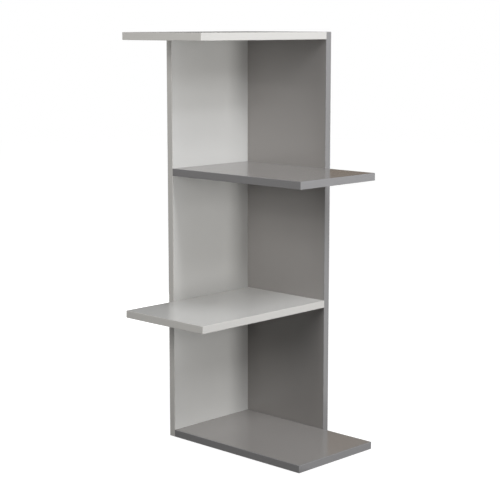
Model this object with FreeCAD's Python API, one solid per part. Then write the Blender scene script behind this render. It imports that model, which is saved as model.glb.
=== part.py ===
import FreeCAD
import Part
import math
import os

# Spine bookshelf: two upright panels meet at a right angle, and four equal shelves sit in their
# inner corner. Each shelf overhangs one wing or the other in turn, so the boards step like vertebrae.
# Everything is drawn in the corner frame: the inner corner of the panels is the Z axis, the right
# wing runs along +X, the left wing along -Y, and the floor is z = 0. The export moves it so that
# the origin is on the floor below the middle of the overall footprint.

Vector = FreeCAD.Vector

# Boards
board_thickness = 18.0
unit_height = 1000.0
wing_width = 262.0
shelf_length = 417.0
shelf_names = ("base_shelf", "lower_shelf", "upper_shelf", "top_shelf")
bay_names = ("low", "middle", "high")

# Edging strips glued round the boards
band_thickness = 2.0
edge_radius = 1.2

# Fitting positions along a joint: the rear ones from the inner corner, the front ones from the front edge
rear_dowel_inset = 48.0
rear_cam_inset = 80.0
front_cam_inset = 40.0
front_dowel_inset = 72.0
corner_dowel_spread = 96.0

# Cam: a die-cast drum that turns in a blind pocket and holds the head of the bolt
cam_diameter = 14.8
cam_setback = 34.0
cam_recess = 0.3
cam_roof = 0.9
cam_chamfer = 0.4
cam_lift = 0.8
cam_pocket_gap = 0.1
cam_pocket_end_gap = 0.3
cam_play = 0.1
cam_running_gap = 0.3
drive_length = 8.0
drive_width = 1.4
drive_floor = 2.2
drive_pilot_diameter = 3.0
arrow_length = 2.2
arrow_width = 2.6
arrow_depth = 0.4

# Bolt: screwed into a panel, its head caught in the cam
bolt_head_diameter = 6.8
bolt_head_length = 3.0
bolt_shoulder = 4.0
bolt_head_chamfer = 0.6
bolt_neck_diameter = 4.4
bolt_neck_past_cam = 1.0
bolt_shank_diameter = 7.0
bolt_collar_step = 0.4
bolt_collar_length = 2.0
bolt_thread_diameter = 6.3
bolt_thread_length = 11.0
bolt_bore_gap = 0.1
bolt_end_gap = 0.5

# Dowel
dowel_diameter = 8.0
dowel_length = 30.0
dowel_in_panel = 11.0
dowel_chamfer = 1.0
dowel_end_gap = 0.5

# Floor glide: a plastic disc on a nail
glide_diameter = 15.0
glide_height = 4.0
glide_edge_radius = 1.2
glide_inset = 25.0
nail_diameter = 2.0
nail_head_diameter = 5.0
nail_head_thickness = 1.0
nail_head_cover = 1.2
nail_in_board = 13.0
nail_point_length = 2.5
nail_point_diameter = 0.5
nail_end_gap = 0.5

# Radial gap of a piece in its drilled hole
hole_gap = 0.05

# How near a point counts as lying on a side of a board
on_side_tolerance = 1e-6

# Worked out from the sizes above
mid_board = board_thickness / 2
shelf_pitch = (unit_height - board_thickness) / (len(shelf_names) - 1)
clear_height = shelf_pitch - board_thickness
cam_radius = cam_diameter / 2
bolt_height_in_cam = mid_board - cam_recess
head_radius = bolt_head_diameter / 2
neck_slot_half = bolt_neck_diameter / 2 + cam_running_gap
head_cavity_half = head_radius + cam_play
cam_height = bolt_height_in_cam + head_cavity_half + cam_roof
cam_pocket_depth = cam_recess + cam_height + cam_pocket_end_gap
drive_depth = bolt_height_in_cam - head_cavity_half - drive_floor
bolt_collar_diameter = bolt_shank_diameter + 2 * bolt_collar_step
bolt_bore_diameter = max(bolt_collar_diameter, bolt_head_diameter) + 2 * bolt_bore_gap
to_row_frame = Vector((board_thickness - shelf_length) / 2, (shelf_length - board_thickness) / 2, 0)

X, Y, Z = Vector(1, 0, 0), Vector(0, 1, 0), Vector(0, 0, 1)

cutters = {}
pieces = {}
cam_axes = {}


def box(low, high):
    """A box between two corners."""
    size = high - low
    return Part.makeBox(size.x, size.y, size.z, low)


def rod(diameter, length, start, direction):
    """A round bar of a given length from a start point."""
    return Part.makeCylinder(diameter / 2, length, start, direction)


def turned(profile):
    """A solid of revolution about the X axis from (x, radius) points of its outline above the axis."""
    points = [Vector(x, radius, 0) for x, radius in profile]
    start, end = Vector(profile[0][0], 0, 0), Vector(profile[-1][0], 0, 0)
    outline = Part.makePolygon([start, *points, end, start])
    return Part.Face(outline).revolve(Vector(), X, 360)


def placed(shape, origin, x_direction, z_direction):
    """A copy of a shape whose own X and Z axes point along the two directions, at an origin."""
    turn = FreeCAD.Rotation(x_direction, z_direction.cross(x_direction), z_direction, "ZXY")
    copy = shape.copy()
    copy.Placement = FreeCAD.Placement(origin, turn)
    return copy


def add_piece(node, solid):
    pieces.setdefault(node, []).append(solid)


def drill(board, tool):
    cutters.setdefault(board, []).append(tool)


class Board:
    """A flat board between two corners, edged all round except on its raw sides.

    A side is an axis number and a sign. The edging on the sides across short_axis runs the board's
    full length and covers the ends of the edging on the sides across long_axis.
    """

    def __init__(self, name, low, high, long_axis, short_axis, raw_sides=()):
        self.name = name
        self.low = low
        self.high = high
        runs = [(short_axis, -1), (short_axis, 1), (long_axis, -1), (long_axis, 1)]
        self.banded_sides = [side for side in runs if side not in raw_sides]
        self.raw_sides = raw_sides

    def touches(self, point, side):
        axis, sign = side
        bound = self.high[axis] if sign > 0 else self.low[axis]
        return abs(point[axis] - bound) < on_side_tolerance

    def rounded_blank(self):
        """The whole board with its banded arrises rounded, before it is drilled."""
        blank = box(self.low, self.high)
        arrises = []
        for edge in blank.Edges:
            on_raw = any(self.touches(edge.CenterOfMass, side) for side in self.raw_sides)
            on_band = any(self.touches(edge.CenterOfMass, side) for side in self.banded_sides)
            if on_band and not on_raw:
                arrises.append(edge)
        return blank.makeFillet(edge_radius, arrises)

    def strip_room(self, side):
        """The box that holds the edging strip of one side."""
        axis, sign = side
        low = Vector(self.low)
        high = Vector(self.high)
        if sign > 0:
            low[axis] = high[axis] - band_thickness
        else:
            high[axis] = low[axis] + band_thickness
        return box(low, high)

    def make(self):
        """Drills the board and parts it into its core and its edging strips."""
        core = self.rounded_blank()
        if self.name in cutters:
            core = core.cut(cutters[self.name])
        for side in self.banded_sides:
            room = self.strip_room(side)
            add_piece(self.name + "_edging", core.common(room).Solids[0])
            core = core.cut(room)
        add_piece(self.name, core.Solids[0])


def shelf_floor(index):
    """Height of a shelf's underside above the floor."""
    return glide_height + index * shelf_pitch


def make_shelf_boards():
    """The shelves, the first overhanging the right wing, the next the left wing, and so on."""
    boards = []
    for index, name in enumerate(shelf_names):
        bottom = shelf_floor(index)
        top = bottom + board_thickness
        if index % 2 == 0:
            low, high = Vector(0, -wing_width, bottom), Vector(shelf_length, 0, top)
            boards.append(Board(name, low, high, long_axis=0, short_axis=1, raw_sides=[(0, -1)]))
        else:
            low, high = Vector(0, -shelf_length, bottom), Vector(wing_width, 0, top)
            boards.append(Board(name, low, high, long_axis=1, short_axis=0, raw_sides=[(1, 1)]))
    return boards


def make_panel_boards():
    """The two uprights. The right panel runs on past the corner and covers the left panel's raw edge."""
    bottom, top = glide_height, glide_height + unit_height
    left_low, left_high = Vector(-board_thickness, -wing_width, bottom), Vector(0, 0, top)
    right_low, right_high = Vector(-board_thickness, 0, bottom), Vector(wing_width, board_thickness, top)
    return [
        Board("left_panel", left_low, left_high, long_axis=2, short_axis=1, raw_sides=[(1, 1)]),
        Board("right_panel", right_low, right_high, long_axis=2, short_axis=0),
    ]


def make_cam():
    """The locking drum, locked on a bolt along +X, with its drive face at z = 0 and its top in the board.

    The bolt's neck runs in a slot round half the drum, from the locked end at +X to the mouth at -X,
    where the head goes in. Two jaws beside the slot hold the head, and they stand a little
    further from the axis at the mouth, so that turning the drum draws the head in.
    """
    height = bolt_height_in_cam
    drum = Part.makeCylinder(cam_radius, cam_height)
    top_rim = [edge for edge in drum.Edges if edge.BoundBox.ZMin > cam_height / 2]
    drum = drum.makeChamfer(cam_chamfer, top_rim)

    half_chord = math.sqrt(head_radius**2 - neck_slot_half**2)
    jaw_radius = math.hypot(bolt_shoulder, half_chord) + cam_play
    shoulder_corner = math.hypot(bolt_shoulder, head_radius) + cam_play
    eccentric = Vector(-cam_lift / 2, 0, height - head_cavity_half)
    jaw_room = Part.makeCylinder(jaw_radius + cam_lift / 2, 2 * head_cavity_half, eccentric)
    slot_floor = Vector(0, 0, height - neck_slot_half)
    head_room = Part.makeCylinder(shoulder_corner, 2 * neck_slot_half, slot_floor)
    slot = Part.makeCylinder(cam_diameter, 2 * neck_slot_half, slot_floor, Z, 180)
    bolt_line = Vector(0, 0, height)
    locked_end = rod(2 * neck_slot_half, cam_diameter, bolt_line, X)
    mouth = rod(2 * head_cavity_half, cam_diameter, bolt_line, -X)
    return drum.cut([jaw_room, head_room, slot, locked_end, mouth, *make_drive_recess()])


def make_drive_recess():
    """The cross for the screwdriver, its tapered middle, and an arrow that points at the mouth."""
    half_length, half_width = drive_length / 2, drive_width / 2
    along_x = box(Vector(-half_length, -half_width, 0), Vector(half_length, half_width, drive_depth))
    along_y = box(Vector(-half_width, -half_length, 0), Vector(half_width, half_length, drive_depth))
    pilot = Part.makeCone(drive_pilot_diameter / 2, half_width, drive_depth)
    arrow_middle = -(cam_radius + half_length) / 2
    arrow_tip, arrow_back = arrow_middle - arrow_length / 2, arrow_middle + arrow_length / 2
    corners = [
        Vector(arrow_tip, 0, 0),
        Vector(arrow_back, -arrow_width / 2, 0),
        Vector(arrow_back, arrow_width / 2, 0),
    ]
    arrow = Part.Face(Part.makePolygon([*corners, corners[0]])).extrude(Vector(0, 0, arrow_depth))
    return [along_x, along_y, pilot, arrow]


def make_bolt():
    """The cam bolt along +X, measured from the cam's axis: head, neck, shank, collar and threaded end."""
    head_radius_inner = head_radius - bolt_head_chamfer
    head_start = bolt_shoulder - bolt_head_length
    neck_end = cam_radius + bolt_neck_past_cam
    collar_start = cam_setback - bolt_collar_length
    profile = [
        (head_start, head_radius_inner),
        (head_start + bolt_head_chamfer, head_radius),
        (bolt_shoulder, head_radius),
        (bolt_shoulder, bolt_neck_diameter / 2),
        (neck_end, bolt_neck_diameter / 2),
        (neck_end + (bolt_shank_diameter - bolt_neck_diameter) / 2, bolt_shank_diameter / 2),
        (collar_start, bolt_shank_diameter / 2),
        (collar_start, bolt_collar_diameter / 2),
        (cam_setback, bolt_collar_diameter / 2),
        (cam_setback, bolt_thread_diameter / 2),
        (cam_setback + bolt_thread_length, bolt_thread_diameter / 2),
    ]
    return turned(profile)


def make_dowel():
    """A dowel along +X that crosses from the board into the panel at x = 0."""
    start, end, radius = dowel_in_panel - dowel_length, dowel_in_panel, dowel_diameter / 2
    return turned([
        (start, radius - dowel_chamfer),
        (start + dowel_chamfer, radius),
        (end - dowel_chamfer, radius),
        (end, radius - dowel_chamfer),
    ])


cam_shape = make_cam()
bolt_shape = make_bolt()
dowel_shape = make_dowel()


def add_cam_joint(cam, host, panel, point, to_panel, inward, joint=None):
    """Joins a host board to a panel with a cam in the host and a bolt in the panel.

    point is where the bolt crosses from board to panel, to_panel points from the host into the
    panel, and inward points from the host's drilled face into the host. The bolts are grouped by
    the panel that they are screwed into, or by a joint's own name.
    """
    axis_point = point - to_panel * cam_setback
    drilled_face = axis_point - inward * mid_board
    drive_face = drilled_face + inward * cam_recess
    add_piece(cam, placed(cam_shape, drive_face, to_panel, inward))
    add_piece(f"{joint or panel}_cam_bolts", placed(bolt_shape, axis_point, to_panel, inward))
    cam_axes[cam] = (drive_face, -inward)
    drill(host, rod(cam_diameter + 2 * cam_pocket_gap, cam_pocket_depth, drilled_face, inward))
    drill(host, rod(bolt_bore_diameter, cam_setback, point, -to_panel))
    drill(panel, rod(bolt_thread_diameter + 2 * hole_gap, bolt_thread_length + bolt_end_gap, point, to_panel))


def add_dowel(dowels, host, panel, point, to_panel):
    """Puts a dowel across the joint between a host board and a panel."""
    add_piece(dowels, placed(dowel_shape, point, to_panel, Z))
    bore = dowel_diameter + 2 * hole_gap
    drill(panel, rod(bore, dowel_in_panel + dowel_end_gap, point, to_panel))
    drill(host, rod(bore, dowel_length - dowel_in_panel + dowel_end_gap, point, -to_panel))


def add_shelf_fittings():
    """Two cams and two dowels hold each shelf to each panel."""
    cam_places = {"rear": rear_cam_inset, "front": wing_width - front_cam_inset}
    dowel_places = (rear_dowel_inset, wing_width - front_dowel_inset)
    for index, shelf in enumerate(shelf_names):
        height = shelf_floor(index) + mid_board
        for place, along in cam_places.items():
            left, right = Vector(0, -along, height), Vector(along, 0, height)
            add_cam_joint(f"{shelf}_left_{place}_cam", shelf, "left_panel", left, -X, Z)
            add_cam_joint(f"{shelf}_right_{place}_cam", shelf, "right_panel", right, Y, Z)
        for along in dowel_places:
            add_dowel("left_panel_dowels", shelf, "left_panel", Vector(0, -along, height), -X)
            add_dowel("right_panel_dowels", shelf, "right_panel", Vector(along, 0, height), Y)


def add_corner_fittings():
    """A cam and two dowels in each bay hold the left panel's rear edge to the right panel."""
    for index, bay in enumerate(bay_names):
        height = shelf_floor(index) + board_thickness + clear_height / 2
        point = Vector(-mid_board, 0, height)
        add_cam_joint(f"corner_{bay}_cam", "left_panel", "right_panel", point, Y, X, joint="corner")
        for side in (-1, 1):
            place = point + Z * (side * corner_dowel_spread)
            add_dowel("corner_dowels", "left_panel", "right_panel", place, Y)


def make_nail():
    """A glide's nail along +X, from its head inside the disc to its point in the board."""
    shank, head = nail_diameter / 2, nail_head_diameter / 2
    point_end = glide_height + nail_in_board
    return turned([
        (nail_head_cover, head),
        (nail_head_cover + nail_head_thickness, head),
        (nail_head_cover + nail_head_thickness, shank),
        (point_end - nail_point_length, shank),
        (point_end, nail_point_diameter / 2),
    ])


def make_glide():
    """A glide's disc along +X from the floor, rounded at the floor edge and hollow where its nail sits."""
    disc = rod(glide_diameter, glide_height, Vector(), X)
    floor_rim = [edge for edge in disc.Edges if edge.BoundBox.XMax < glide_height / 2]
    disc = disc.makeFillet(glide_edge_radius, floor_rim)
    head_room = rod(
        nail_head_diameter + 2 * hole_gap,
        nail_head_thickness + 2 * hole_gap,
        Vector(nail_head_cover - hole_gap, 0, 0),
        X,
    )
    shank_room = rod(nail_diameter + 2 * hole_gap, glide_height, Vector(nail_head_cover, 0, 0), X)
    return disc.cut([head_room, shank_room])


def add_glides():
    """Two glides under each panel and two under the base shelf's free end."""
    front, rear = -wing_width + glide_inset, -glide_inset
    free_end = shelf_length - glide_inset
    places = [
        ("left_panel", -mid_board, rear),
        ("left_panel", -mid_board, front),
        ("right_panel", glide_inset - board_thickness, mid_board),
        ("right_panel", wing_width - glide_inset, mid_board),
        (shelf_names[0], free_end, rear),
        (shelf_names[0], free_end, front),
    ]
    glide, nail = make_glide(), make_nail()
    for board, x, y in places:
        spot = Vector(x, y, 0)
        add_piece("floor_glides", placed(glide, spot, Z, X))
        add_piece("glide_nails", placed(nail, spot, Z, X))
        hole_start = spot + Z * glide_height
        drill(board, rod(nail_diameter + 2 * hole_gap, nail_in_board + nail_end_gap, hole_start, Z))


def export():
    """Moves every node to the row frame, writes it and prints what it holds."""
    os.makedirs("parts", exist_ok=True)
    for node, solids in sorted(pieces.items()):
        shape = solids[0] if len(solids) == 1 else Part.makeCompound(solids)
        moved = shape.translated(to_row_frame)
        moved.exportStep(f"parts/{node}.step")
        sound = moved.isValid() and all(solid.isClosed() for solid in moved.Solids)
        state = "sound" if sound else "UNSOUND"
        print(f"{node}: {len(moved.Solids)} solids, {moved.Volume:.1f} mm3, {state}")
    for cam, (point, axis) in sorted(cam_axes.items()):
        print(f"{cam} turns about {tuple(axis)} at {tuple(point + to_row_frame)}")


def main():
    add_shelf_fittings()
    add_corner_fittings()
    add_glides()
    for board in make_panel_boards() + make_shelf_boards():
        board.make()
    export()


if __name__ == "__main__":
    main()
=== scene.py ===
"""Finishes, stage and camera for a spine bookshelf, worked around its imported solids.

The solids carry every shape of the shelf, so this file gives each of them the surface of its real material.
It then sets the plain white studio that the shelf stands in. Lengths are metres, in the solids' frame.
"""

import math

import bpy
import numpy as np
from bpy.props import FloatProperty, FloatVectorProperty, PointerProperty
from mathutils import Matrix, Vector


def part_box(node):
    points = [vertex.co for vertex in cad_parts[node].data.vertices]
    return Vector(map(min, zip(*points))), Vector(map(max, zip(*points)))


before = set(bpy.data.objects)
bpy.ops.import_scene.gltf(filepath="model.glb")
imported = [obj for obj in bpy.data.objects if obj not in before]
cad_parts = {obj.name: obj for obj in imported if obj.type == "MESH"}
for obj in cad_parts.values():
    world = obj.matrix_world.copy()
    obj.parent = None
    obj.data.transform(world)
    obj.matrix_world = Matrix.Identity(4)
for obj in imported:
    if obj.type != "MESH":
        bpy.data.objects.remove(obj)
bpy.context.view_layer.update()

bl_info = {
    "name": "Spine bookshelf finishes",
    "version": (1, 0, 0),
    "blender": (4, 5, 0),
    "location": "3D View > Sidebar > Spine shelf",
    "description": "Gives the spine bookshelf its materials and sets its studio",
    "category": "Material",
}

# Boards by tone
light_boards = ("left_panel", "lower_shelf", "top_shelf")
dark_boards = ("right_panel", "base_shelf", "upper_shelf")

# Groups of like fittings, the dowels with the number of the axis that they lie along
bolt_groups = ("left_panel_cam_bolts", "right_panel_cam_bolts", "corner_cam_bolts")
dowel_axes = {"left_panel_dowels": 0, "right_panel_dowels": 1, "corner_dowels": 1}
cam_nodes = tuple(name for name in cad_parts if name.endswith("_cam"))

millimetre = 0.001

# Sockets of a mix node for each kind of value: the first input, the second input and the result
mix_sockets = {"FLOAT": (2, 3, 0), "RGBA": (6, 7, 2)}

# Range that most values of a noise lie in
noise_low = 0.3
noise_high = 0.7

# Floor mesh, and the distances between which its own white makes up for the fading lamps
floor_rings = 12
floor_spokes = 65
floor_hole = 1 * millimetre
fade_start = 0.8
fade_end = 2.2

# Cards lie just clear of the floor, and lamps aim at a point on the shelf's middle line
card_lift = 0.5 * millimetre
card_columns = 13
aim_height = 0.6

# Camera fitted to the photograph's straight edges: sensor and lens in millimetres, angles in degrees
sensor_width = 36
focal_length = 100.65
camera_reach = 50
camera_place = (2.2776, -2.3613, 1.0237)
camera_tilt = 80.793
camera_heading = 43.956


def linear(hex_colour):
    """The linear red, green and blue of an sRGB hex colour, by the curve of the sRGB standard."""
    channels = np.array([int(hex_colour[place : place + 2], 16) for place in (0, 2, 4)]) / 255
    low = channels / 12.92
    high = ((channels + 0.055) / 1.055) ** 2.4
    return tuple(float(value) for value in np.where(channels <= 0.04045, low, high))


def colour_setting(name, description, hex_colour):
    """A colour property whose default is an sRGB hex value."""
    default = linear(hex_colour)
    return FloatVectorProperty(
        name=name, description=description, subtype="COLOR", size=3, min=0, max=1, default=default
    )


def length_setting(name, description, default):
    """A length property in metres."""
    return FloatProperty(name=name, description=description, unit="LENGTH", min=0, default=default)


def share_setting(name, description, default):
    """A property from 0 to 1."""
    return FloatProperty(
        name=name, description=description, subtype="FACTOR", min=0, max=1, default=default
    )


def power_setting(name, description, default):
    """A lamp's power in watts."""
    return FloatProperty(name=name, description=description, unit="POWER", min=0, default=default)


class ShelfFinishes(bpy.types.PropertyGroup):
    """Colours and surface sizes of the shelf's materials."""

    light_face: colour_setting("Light face", "Decor paper of the light boards", "B8B7B4")
    dark_face: colour_setting("Dark face", "Decor paper of the dark boards", "7E7B78")
    light_edge: colour_setting("Light edge", "Edging of the light boards", "AAA8A4")
    dark_edge: colour_setting("Dark edge", "Edging of the dark boards", "6E6D6D")
    chip_pale: colour_setting("Pale chip", "Pale wood chips in the board cores", "C9A877")
    chip_brown: colour_setting("Brown chip", "Brown wood chips in the board cores", "8A6540")
    zinc: colour_setting("Zinc", "Cast zinc of the cams", "B4B6B9")
    steel: colour_setting("Steel", "Plated steel of the bolts and nails", "C6C9CC")
    beech: colour_setting("Beech", "Ground tone of the dowels", "D2AE7E")
    beech_fleck: colour_setting("Beech fleck", "Darker rays in the dowels", "9E7446")
    glide: colour_setting("Glide", "Moulded plastic of the floor glides", "3B3C3D")
    face_roughness: share_setting("Face roughness", "Roughness of the pressed faces", 0.2)
    edge_roughness: share_setting("Edge roughness", "Roughness of the edging", 0.25)
    paper: length_setting("Paper", "Thickness of the decor paper on each face", 0.3 * millimetre)
    pearl: length_setting("Pearl", "Size of the pressed pearl grain", 1.6 * millimetre)
    cloud: length_setting("Cloud", "Size of the faint clouds in the print", 55 * millimetre)
    chip: length_setting("Chip", "Length of a chip in the core", 3 * millimetre)


class StudioSettings(bpy.types.PropertyGroup):
    """Lamps, floor, cards and surroundings of the shelf."""

    key_power: power_setting("Key", "Upper softbox high on the right", 31.0)
    second_key_power: power_setting("Second key", "Lower softbox high on the right", 20.2)
    side_power: power_setting("Side", "Wide softbox on the right", 14.2)
    low_power: power_setting("Low", "Small lamp near the floor on the right", 9.8)
    fill_power: power_setting("Fill", "Lower softbox in front", 22.8)
    second_fill_power: power_setting("Second fill", "Upper softbox in front", 15.4)
    back_power: power_setting("Back", "Softbox behind, for the backs of the panels", 29.0)
    key_colour: colour_setting("Key colour", "Slightly cool light of the two key softboxes", "F9FBFF")
    ambient: share_setting("Ambient", "Light from all round", 0.005)
    floor_tone: colour_setting("Floor", "Floor as it lights the shelf", "7C7C7C")
    floor_glow: share_setting("Floor glow", "White of the floor before its light is added", 0.93)
    floor_shade: share_setting("Floor shade", "How strongly the floor shows the shelf's shadow", 0.22)
    # The card tones glow on sheets that only gloss sees, as painted reflections in the satin faces
    painted_back_reflection: colour_setting("Back card", "Dark card that the overhanging light tops mirror", "2F2F2D")
    painted_brown_reflection: colour_setting("Brown card", "Low card that the overhanging dark tops mirror", "77644E")
    painted_front_reflection: colour_setting("Front card", "Dark card that the faces towards -Y mirror", "6C6C6C")
    painted_floor_reflection: colour_setting("Floor card", "Card that the low edges towards +X mirror", "CECECE")
    floor_reach: length_setting("Floor reach", "Radius of the floor", 9.0)


def add_node(tree, kind, inputs=None, **settings):
    """Adds one node: settings are its properties, and each input takes a value or an output's link."""
    node = tree.nodes.new(kind)
    for name, value in settings.items():
        setattr(node, name, value)
    for name, value in (inputs or {}).items():
        if isinstance(value, bpy.types.NodeSocket):
            tree.links.new(value, node.inputs[name])
        else:
            node.inputs[name].default_value = value
    return node


def cleared_tree(owner):
    """The node tree of a material or world, with nothing in it yet."""
    owner.use_nodes = True
    owner.node_tree.nodes.clear()
    return owner.node_tree


def new_material(name):
    """An empty material: the material, its node tree and the output of its object coordinates."""
    material = bpy.data.materials.new(name)
    tree = cleared_tree(material)
    place = add_node(tree, "ShaderNodeTexCoord").outputs["Object"]
    return material, tree, place


def add_surface(tree, inputs):
    """Adds a material's surface shader with its inputs."""
    shader = add_node(tree, "ShaderNodeBsdfPrincipled", inputs)
    add_node(tree, "ShaderNodeOutputMaterial", {"Surface": shader.outputs["BSDF"]})


def noise(tree, place, size, detail, distortion=0.0):
    """A noise from 0 to 1 with blotches of about one size."""
    inputs = {"Vector": place, "Scale": 1 / size, "Detail": detail, "Distortion": distortion}
    return add_node(tree, "ShaderNodeTexNoise", inputs).outputs["Fac"]


def stretched(tree, place, axis, along, across):
    """Coordinates that are scaled by one factor along an axis and by another across it."""
    scale = [across] * 3
    scale[axis] = along
    return add_node(tree, "ShaderNodeMapping", {"Vector": place, "Scale": scale}).outputs["Vector"]


def computed(tree, operation, *values):
    """The result of one operation on numbers."""
    return add_node(tree, "ShaderNodeMath", dict(enumerate(values)), operation=operation).outputs["Value"]


def ranged(tree, value, low=0.0, high=1.0, value_low=0.0, value_high=1.0):
    """A value brought from the range it has to the range from low to high."""
    inputs = {"Value": value, "From Min": value_low, "From Max": value_high, "To Min": low, "To Max": high}
    return add_node(tree, "ShaderNodeMapRange", inputs).outputs["Result"]


def mixed(tree, kind, share, first, second):
    """A mix of two numbers or colours, which is the second one where the share is 1."""
    first_socket, second_socket, result = mix_sockets[kind]
    inputs = {"Factor": share, first_socket: first, second_socket: second}
    return add_node(tree, "ShaderNodeMix", inputs, data_type=kind).outputs[result]


def relief(tree, height, strength, depth):
    """The normal of a surface with a fine relief."""
    inputs = {"Height": height, "Strength": strength, "Distance": depth}
    return add_node(tree, "ShaderNodeBump", inputs).outputs["Normal"]


def opaque(colour):
    """A colour with full alpha."""
    return (*colour, 1.0)


def toned(colour, factor):
    """A colour made lighter or darker, with full alpha."""
    return opaque([min(1.0, channel * factor) for channel in colour])


def shaded(tree, share, colour, darkest, lightest):
    """A colour that goes from a darker tone of itself to a lighter one with the share."""
    return mixed(tree, "RGBA", share, toned(colour, darkest), toned(colour, lightest))


def gloss(tree, value, middle, swing):
    """A roughness that a noise moves to either side of a middle one."""
    return ranged(tree, value, middle - swing, middle + swing, noise_low, noise_high)


def dress(node_name, material):
    """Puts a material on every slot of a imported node."""
    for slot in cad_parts[node_name].material_slots:
        slot.material = material


def thickness_axis(board):
    """The axis that a board is thin along, its middle on it and half its thickness."""
    low, high = (np.array(corner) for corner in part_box(board))
    axis = int(np.argmin(high - low))
    return axis, float(low[axis] + high[axis]) / 2, float(high[axis] - low[axis]) / 2


def melamine_on_chipboard(board, colour, finishes):
    """Chipboard pressed with melamine paper against a pearl plate.

    The eye sees an even satin grey with a fine grain in the highlight.
    In drilled holes it sees pale and brown chips.
    """
    material, tree, place = new_material(f"melamine_on_chipboard_{board}")
    axis, middle, half = thickness_axis(board)
    cloud = noise(tree, place, size=finishes.cloud, detail=2.0)
    # The pressed grain is about 0.5 mm on the real board and is drawn coarser here so that it shows
    pearl = noise(tree, place, size=finishes.pearl, detail=1.0)
    cloud_share = 0.75
    speck = ranged(
        tree, computed(tree, "MULTIPLY_ADD", cloud, cloud_share, pearl), value_low=0.55, value_high=1.2
    )
    paper_colour = shaded(tree, speck, colour, darkest=0.99, lightest=1.01)
    # Chips lie flat in the core, so their cells are squeezed along the thickness
    flat = stretched(tree, place, axis, along=3.0, across=1.0)
    chips = add_node(tree, "ShaderNodeTexVoronoi", {"Vector": flat, "Scale": 1 / finishes.chip})
    chip_grey = add_node(tree, "ShaderNodeSeparateColor", {"Color": chips.outputs["Color"]})
    chip_colour = mixed(
        tree, "RGBA", chip_grey.outputs["Red"], opaque(finishes.chip_brown), opaque(finishes.chip_pale)
    )
    # A point is on a face where it lies within the paper's thickness of it
    apart = add_node(tree, "ShaderNodeSeparateXYZ", {"Vector": place})
    offset = computed(tree, "SUBTRACT", apart.outputs[axis], middle)
    on_face = computed(tree, "GREATER_THAN", computed(tree, "ABSOLUTE", offset), half - finishes.paper)
    core_roughness = 0.9
    face_gloss = gloss(tree, pearl, finishes.face_roughness, swing=0.015)
    height = mixed(tree, "FLOAT", on_face, chips.outputs["Distance"], pearl)
    add_surface(
        tree,
        {
            "Base Color": mixed(tree, "RGBA", on_face, chip_colour, paper_colour),
            "Roughness": mixed(tree, "FLOAT", on_face, core_roughness, face_gloss),
            "Normal": relief(tree, height, strength=0.05, depth=0.03 * millimetre),
            "IOR": 1.7,
        },
    )
    return material


def extruded_edging(board, colour, finishes):
    """ABS edging, extruded and milled flush with the faces.

    The eye sees a plain satin strip with faint draw lines along it.
    The lines change fast across the board's thickness and slowly the other ways.
    """
    material, tree, place = new_material(f"extruded_abs_edging_{board}")
    axis, _, _ = thickness_axis(board)
    # Draw lines are about 0.3 mm apart on the real strip and are drawn coarser here so that they show
    drawn = stretched(tree, place, axis, along=1 / (0.9 * millimetre), across=12.0)
    lines = noise(tree, drawn, size=1.0, detail=2.0)
    add_surface(
        tree,
        {
            "Base Color": shaded(tree, lines, colour, darkest=0.985, lightest=1.015),
            "Roughness": gloss(tree, lines, finishes.edge_roughness, swing=0.02),
            "Normal": relief(tree, lines, strength=0.04, depth=0.03 * millimetre),
            "IOR": 1.65,
        },
    )
    return material


def die_cast_zinc(colour):
    """Zinc alloy cast in a steel die: dull grey metal with a fine skin and faint darker flow marks."""
    material, tree, place = new_material("die_cast_zinc")
    skin = noise(tree, place, size=0.7 * millimetre, detail=3.0)
    flow = noise(tree, place, size=5 * millimetre, detail=2.0, distortion=1.5)
    add_surface(
        tree,
        {
            "Base Color": shaded(tree, flow, colour, darkest=0.82, lightest=1.08),
            "Roughness": ranged(tree, skin, low=0.36, high=0.56),
            "Normal": relief(tree, skin, strength=0.25, depth=0.05 * millimetre),
            "Metallic": 1.0,
        },
    )
    return material


def zinc_plated_steel(colour):
    """Turned steel with a bright zinc plating: clean cool metal whose gloss shifts in small patches."""
    material, tree, place = new_material("zinc_plated_steel")
    patches = noise(tree, place, size=1.5 * millimetre, detail=3.0)
    add_surface(
        tree,
        {
            "Base Color": shaded(tree, patches, colour, darkest=0.9, lightest=1.05),
            "Roughness": ranged(tree, patches, low=0.2, high=0.38),
            "Metallic": 1.0,
        },
    )
    return material


def turned_beech(axis, finishes):
    """Beech dowel rod: pale pinkish wood with short darker rays that run along the rod."""
    material, tree, place = new_material(f"turned_beech_{'xyz'[axis]}")
    grain = stretched(tree, place, axis, along=1 / (5 * millimetre), across=1 / (0.6 * millimetre))
    rays = noise(tree, grain, size=1.0, detail=3.0)
    fleck = ranged(tree, rays, value_low=0.45, value_high=0.75)
    add_surface(
        tree,
        {
            "Base Color": mixed(tree, "RGBA", fleck, opaque(finishes.beech), opaque(finishes.beech_fleck)),
            "Roughness": 0.7,
            "Normal": relief(tree, rays, strength=0.3, depth=0.08 * millimetre),
        },
    )
    return material


def moulded_polyethylene(colour):
    """Polyethylene moulded in an eroded tool: dull dark plastic with a fine even grain."""
    material, tree, place = new_material("moulded_polyethylene")
    grain = noise(tree, place, size=0.8 * millimetre, detail=2.0)
    add_surface(
        tree,
        {
            "Base Color": shaded(tree, grain, colour, darkest=0.85, lightest=1.15),
            "Roughness": ranged(tree, grain, low=0.45, high=0.6),
            "Normal": relief(tree, grain, strength=0.2, depth=0.05 * millimetre),
        },
    )
    return material


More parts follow.
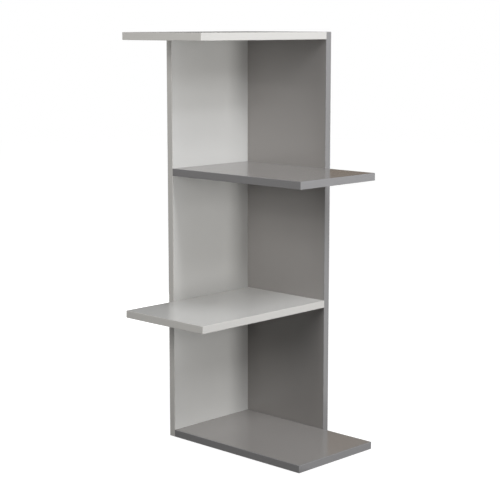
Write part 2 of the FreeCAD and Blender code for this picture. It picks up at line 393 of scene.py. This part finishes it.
def surface_object(name, points, material):
    """A mesh object over a grid of points, one quad between each four neighbours."""
    rows, columns, _ = points.shape
    number = np.arange(rows * columns).reshape(rows, columns)
    quads = np.stack([number[:-1, :-1], number[1:, :-1], number[1:, 1:], number[:-1, 1:]], axis=-1)
    mesh = bpy.data.meshes.new(name)
    mesh.from_pydata(points.reshape(-1, 3).tolist(), [], quads.reshape(-1, 4).tolist())
    mesh.materials.append(material)
    made = bpy.data.objects.new(name, mesh)
    bpy.context.scene.collection.objects.link(made)
    return made


def seen_directly(tree):
    """An output that is 1 for camera, mirror and glass rays, and 0 where one surface lights another."""
    path = add_node(tree, "ShaderNodeLightPath")
    mirrored = computed(tree, "MAXIMUM", path.outputs["Is Camera Ray"], path.outputs["Is Glossy Ray"])
    return computed(tree, "MAXIMUM", mirrored, path.outputs["Is Transmission Ray"])


def white_floor_material(studio):
    """A plain pale floor that the eye sees as white, with the shelf's soft shadow kept on it."""
    material, tree, place = new_material("white_studio_floor")
    away = add_node(tree, "ShaderNodeVectorMath", {0: place}, operation="LENGTH")
    glow = ranged(tree, away.outputs["Value"], studio.floor_glow, 1.0, fade_start, fade_end)
    white = add_node(tree, "ShaderNodeEmission", {"Strength": glow})
    shade = add_node(tree, "ShaderNodeBsdfDiffuse", {"Color": opaque([studio.floor_shade] * 3)})
    shown = add_node(tree, "ShaderNodeAddShader", {0: white.outputs[0], 1: shade.outputs[0]})
    throws = add_node(tree, "ShaderNodeBsdfDiffuse", {"Color": opaque(studio.floor_tone)})
    chosen = add_node(
        tree, "ShaderNodeMixShader", {0: seen_directly(tree), 1: throws.outputs[0], 2: shown.outputs[0]}
    )
    add_node(tree, "ShaderNodeOutputMaterial", {"Surface": chosen.outputs[0]})
    return material


def make_floor(studio):
    """A round floor: a point at radius r and angle a lies at (r cos a, r sin a, 0)."""
    radii = np.linspace(floor_hole, studio.floor_reach, floor_rings)
    radius, angle = np.meshgrid(radii, np.linspace(0, 2 * np.pi, floor_spokes), indexing="ij")
    points = np.stack([radius * np.cos(angle), radius * np.sin(angle), np.zeros_like(radius)], axis=-1)
    floor = surface_object("studio_floor", points, white_floor_material(studio))


def make_painted_reflection(name, tone, azimuth, foot, away, half_width, tall):
    """A glowing card that only gloss sees, a painted reflection in the satin faces: it lies on the floor
    from foot to away, then stands upright.

    Its profile is three points of distance and height, and its width runs to either side of the azimuth.
    With a unit vector out towards the azimuth and a level one across it, a point lies at its distance times
    out, plus its place in the width times across, plus its height up.
    """
    turn = math.radians(azimuth)
    out = np.array([math.cos(turn), math.sin(turn), 0.0])
    across = np.array([-math.sin(turn), math.cos(turn), 0.0])
    up = np.array([0.0, 0.0, 1.0])
    profile = np.array([(foot, card_lift), (away, card_lift), (away, tall)])
    width = np.linspace(-half_width, half_width, card_columns)
    distance = profile[None, :, 0, None]
    height = profile[None, :, 1, None]
    points = distance * out + width[:, None, None] * across + height * up
    material = bpy.data.materials.new(name)
    tree = cleared_tree(material)
    # The sheet glows with its tone as a painted reflection, unlit and unseen except by gloss
    glow = add_node(tree, "ShaderNodeEmission", {"Color": opaque(tone)})
    add_node(tree, "ShaderNodeOutputMaterial", {"Surface": glow.outputs[0]})
    card = surface_object(name, points, material)
    card.visible_camera = False
    card.visible_diffuse = False
    card.visible_transmission = False
    card.visible_shadow = False


def make_softbox(name, power, azimuth, across, height, width, tall, colour=(1, 1, 1)):
    """A rectangular lamp at a level distance from the shelf's middle line, aimed at a point on that line."""
    lamp_data = bpy.data.lights.new(name, "AREA")
    lamp_data.shape = "RECTANGLE"
    lamp_data.size = width
    lamp_data.size_y = tall
    lamp_data.energy = power
    lamp_data.color = colour
    lamp = bpy.data.objects.new(name, lamp_data)
    turn = math.radians(azimuth)
    lamp.location = (across * math.cos(turn), across * math.sin(turn), height)
    aim = Vector((0, 0, aim_height)) - lamp.location
    lamp.rotation_euler = aim.to_track_quat("-Z", "Y").to_euler()
    # Gloss shows the white studio and the cards, so no satin face shows a lamp's burnt-out image
    lamp.visible_glossy = False
    bpy.context.scene.collection.objects.link(lamp)


def make_painted_reflections(studio):
    """Glowing cards that paint reflections in the satin faces: they stand for what those faces mirror in the
    photograph besides white.
    """
    make_painted_reflection(
        "painted_back_reflection", studio.painted_back_reflection, azimuth=134, foot=1.65, away=1.66, half_width=1.5, tall=3.0
    )
    make_painted_reflection(
        "painted_brown_reflection", studio.painted_brown_reflection, azimuth=116, foot=1.62, away=1.63, half_width=0.5, tall=1.05
    )
    make_painted_reflection(
        "painted_front_reflection", studio.painted_front_reflection, azimuth=226, foot=-0.15, away=1.45, half_width=1.1, tall=2.5
    )
    make_painted_reflection(
        "painted_floor_reflection", studio.painted_floor_reflection, azimuth=46, foot=0.15, away=0.5, half_width=0.5, tall=millimetre
    )


def make_lamps(studio):
    """Softboxes high and low on the right, in front, and behind for the backs of the panels."""
    make_softbox(
        "key_softbox",
        studio.key_power,
        azimuth=0,
        across=1.43,
        height=2.13,
        width=0.55,
        tall=0.55,
        colour=studio.key_colour,
    )
    make_softbox(
        "second_key_softbox",
        studio.second_key_power,
        azimuth=0,
        across=1.73,
        height=1.78,
        width=0.55,
        tall=0.65,
        colour=studio.key_colour,
    )
    make_softbox(
        "side_softbox", studio.side_power, azimuth=7.5, across=2.088, height=0.82, width=1.1, tall=0.55
    )
    make_softbox(
        "low_lamp", studio.low_power, azimuth=15, across=1.858, height=0.205, width=0.35, tall=0.35
    )
    make_softbox(
        "fill_softbox", studio.fill_power, azimuth=-83, across=2.03, height=1.15, width=0.55, tall=0.75
    )
    make_softbox(
        "second_fill_softbox",
        studio.second_fill_power,
        azimuth=-90,
        across=1.82,
        height=1.65,
        width=0.55,
        tall=0.55,
    )
    make_softbox(
        "back_softbox", studio.back_power, azimuth=157, across=2.0, height=0.2, width=1.2, tall=0.35
    )


def make_world(studio):
    """White surroundings as the camera sees them, with a little even light from all round."""
    world = bpy.data.worlds.new("white_studio")
    tree = cleared_tree(world)
    strength = computed(tree, "MULTIPLY_ADD", seen_directly(tree), 1.0 - studio.ambient, studio.ambient)
    sky = add_node(tree, "ShaderNodeBackground", {"Color": opaque((1, 1, 1)), "Strength": strength})
    add_node(tree, "ShaderNodeOutputWorld", {"Surface": sky.outputs[0]})
    bpy.context.scene.world = world


def make_camera():
    """The long lens that the photograph was taken with, as its straight edges give it."""
    camera_data = bpy.data.cameras.new("front_corner_camera")
    camera_data.sensor_width = sensor_width
    camera_data.lens = focal_length
    camera_data.clip_end = camera_reach
    camera = bpy.data.objects.new("front_corner_camera", camera_data)
    camera.location = camera_place
    camera.rotation_euler = (math.radians(camera_tilt), 0, math.radians(camera_heading))
    bpy.context.scene.collection.objects.link(camera)
    bpy.context.scene.camera = camera


class SPINE_OT_light_boards(bpy.types.Operator):
    """Give the light boards their satin faces and chipboard cores"""

    bl_idname = "spine_shelf.light_boards"
    bl_label = "Light boards"

    def execute(self, context):
        finishes = context.scene.spine_shelf_finishes
        for board in light_boards:
            dress(board, melamine_on_chipboard(board, finishes.light_face, finishes))
        return {"FINISHED"}


class SPINE_OT_dark_boards(bpy.types.Operator):
    """Give the dark boards their satin faces and chipboard cores"""

    bl_idname = "spine_shelf.dark_boards"
    bl_label = "Dark boards"

    def execute(self, context):
        finishes = context.scene.spine_shelf_finishes
        for board in dark_boards:
            dress(board, melamine_on_chipboard(board, finishes.dark_face, finishes))
        return {"FINISHED"}


class SPINE_OT_edging(bpy.types.Operator):
    """Give every board's edging its extruded strip finish"""

    bl_idname = "spine_shelf.edging"
    bl_label = "Edging"

    def execute(self, context):
        finishes = context.scene.spine_shelf_finishes
        for board in light_boards:
            dress(f"{board}_edging", extruded_edging(board, finishes.light_edge, finishes))
        for board in dark_boards:
            dress(f"{board}_edging", extruded_edging(board, finishes.dark_edge, finishes))
        return {"FINISHED"}


class SPINE_OT_cams(bpy.types.Operator):
    """Give the cam locks their cast zinc"""

    bl_idname = "spine_shelf.cams"
    bl_label = "Cams"

    def execute(self, context):
        zinc = die_cast_zinc(context.scene.spine_shelf_finishes.zinc)
        for cam in cam_nodes:
            dress(cam, zinc)
        return {"FINISHED"}


class SPINE_OT_bolts(bpy.types.Operator):
    """Give the cam bolts and the glide nails their plated steel"""

    bl_idname = "spine_shelf.bolts"
    bl_label = "Bolts and nails"

    def execute(self, context):
        steel = zinc_plated_steel(context.scene.spine_shelf_finishes.steel)
        for group in bolt_groups:
            dress(group, steel)
        dress("glide_nails", steel)
        return {"FINISHED"}


class SPINE_OT_dowels(bpy.types.Operator):
    """Give the dowels their beech, with the rays along each rod"""

    bl_idname = "spine_shelf.dowels"
    bl_label = "Dowels"

    def execute(self, context):
        finishes = context.scene.spine_shelf_finishes
        for group, axis in dowel_axes.items():
            dress(group, turned_beech(axis, finishes))
        return {"FINISHED"}


class SPINE_OT_glides(bpy.types.Operator):
    """Give the floor glides their moulded plastic"""

    bl_idname = "spine_shelf.glides"
    bl_label = "Floor glides"

    def execute(self, context):
        dress("floor_glides", moulded_polyethylene(context.scene.spine_shelf_finishes.glide))
        return {"FINISHED"}


class SPINE_OT_stage(bpy.types.Operator):
    """Set the white floor, the cards, the softboxes, the surroundings and the camera"""

    bl_idname = "spine_shelf.stage"
    bl_label = "Stage"

    def execute(self, context):
        studio = context.scene.spine_shelf_studio
        context.scene.view_settings.view_transform = "Standard"
        make_floor(studio)
        make_painted_reflections(studio)
        make_world(studio)
        make_lamps(studio)
        make_camera()
        return {"FINISHED"}


class SPINE_PT_shelf(bpy.types.Panel):
    """Lists the steps that finish the shelf and the settings they read"""

    bl_label = "Spine shelf"
    bl_idname = "SPINE_PT_shelf"
    bl_space_type = "VIEW_3D"
    bl_region_type = "UI"
    bl_category = "Spine shelf"

    def draw(self, context):
        for step in steps:
            self.layout.operator(step.bl_idname)
        for group in (context.scene.spine_shelf_finishes, context.scene.spine_shelf_studio):
            for name in group.__annotations__:
                self.layout.prop(group, name)


steps = (
    SPINE_OT_light_boards,
    SPINE_OT_dark_boards,
    SPINE_OT_edging,
    SPINE_OT_cams,
    SPINE_OT_bolts,
    SPINE_OT_dowels,
    SPINE_OT_glides,
    SPINE_OT_stage,
)
classes = (ShelfFinishes, StudioSettings, *steps, SPINE_PT_shelf)


def register():
    for made in classes:
        bpy.utils.register_class(made)
    bpy.types.Scene.spine_shelf_finishes = PointerProperty(type=ShelfFinishes)
    bpy.types.Scene.spine_shelf_studio = PointerProperty(type=StudioSettings)


def unregister():
    del bpy.types.Scene.spine_shelf_studio
    del bpy.types.Scene.spine_shelf_finishes
    for made in reversed(classes):
        bpy.utils.unregister_class(made)


def main():
    register()
    bpy.ops.spine_shelf.light_boards()
    bpy.ops.spine_shelf.dark_boards()
    bpy.ops.spine_shelf.edging()
    bpy.ops.spine_shelf.cams()
    bpy.ops.spine_shelf.bolts()
    bpy.ops.spine_shelf.dowels()
    bpy.ops.spine_shelf.glides()
    bpy.ops.spine_shelf.stage()


if __name__ == "__main__":
    main()
